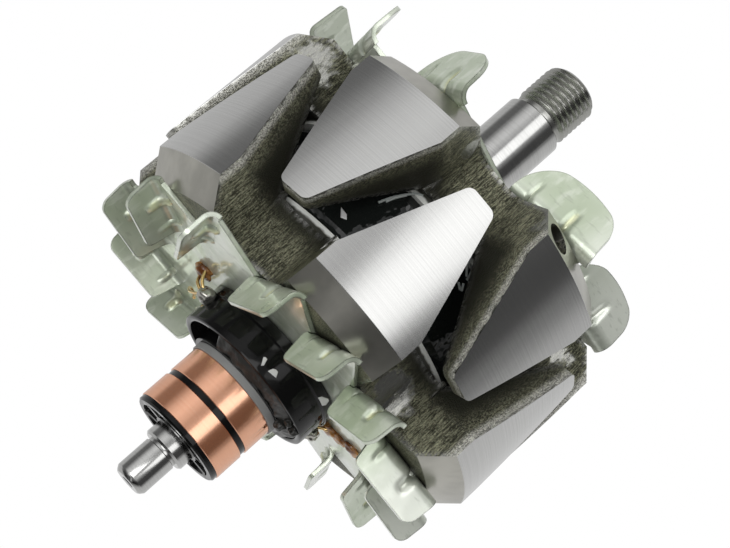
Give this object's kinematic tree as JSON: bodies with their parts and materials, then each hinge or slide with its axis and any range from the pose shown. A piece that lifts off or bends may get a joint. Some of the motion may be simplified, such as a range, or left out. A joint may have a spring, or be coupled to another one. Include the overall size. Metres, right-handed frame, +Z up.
{
  "type": "alternator rotor",
  "caption": "Claw-pole rotor of a vehicle alternator with interleaved forged pole claws, field coil, bent-blade fans, copper slip rings and a threaded shaft.",
  "frame": {"origin": "on the shaft axis, midway between the two pole end faces", "axes": "+X along the shaft towards the threaded drive end, +Z up with the rotor lying on its claws"},
  "size_m": [0.1326, 0.099, 0.099],
  "materials": {
    "shaft_steel": "ground and polished",
    "pole_steel": "forged, claw faces turned bright",
    "bobbin_plastic": "matte",
    "coil_varnish": "varnished",
    "plated_sheet": "zinc plated, pale yellow-green",
    "black_moulding": "glossy",
    "ring_copper": "polished copper",
    "grey_moulding": "matte",
    "lead_copper": "enamelled copper",
    "amber_resin": "clear amber",
    "tinned_joint": "dull solder"
  },
  "bodies": {
    "root": {"shaft": "shaft_steel", "rear_pole": "pole_steel", "drive_end_pole": "pole_steel", "coil_bobbin": "bobbin_plastic", "field_coil": "coil_varnish", "rear_fan": "plated_sheet", "drive_end_fan": "plated_sheet", "drive_end_collar": "shaft_steel", "slip_ring_hub": "black_moulding", "outer_slip_ring": "ring_copper", "inner_slip_ring": "ring_copper", "ring_washer": "grey_moulding", "cup_collar": "black_moulding", "lead_a": "lead_copper", "lead_b": "lead_copper", "resin_a": "amber_resin", "resin_b": "amber_resin", "terminal_a": "tinned_joint", "terminal_b": "tinned_joint"}
  },
  "joints": []
}
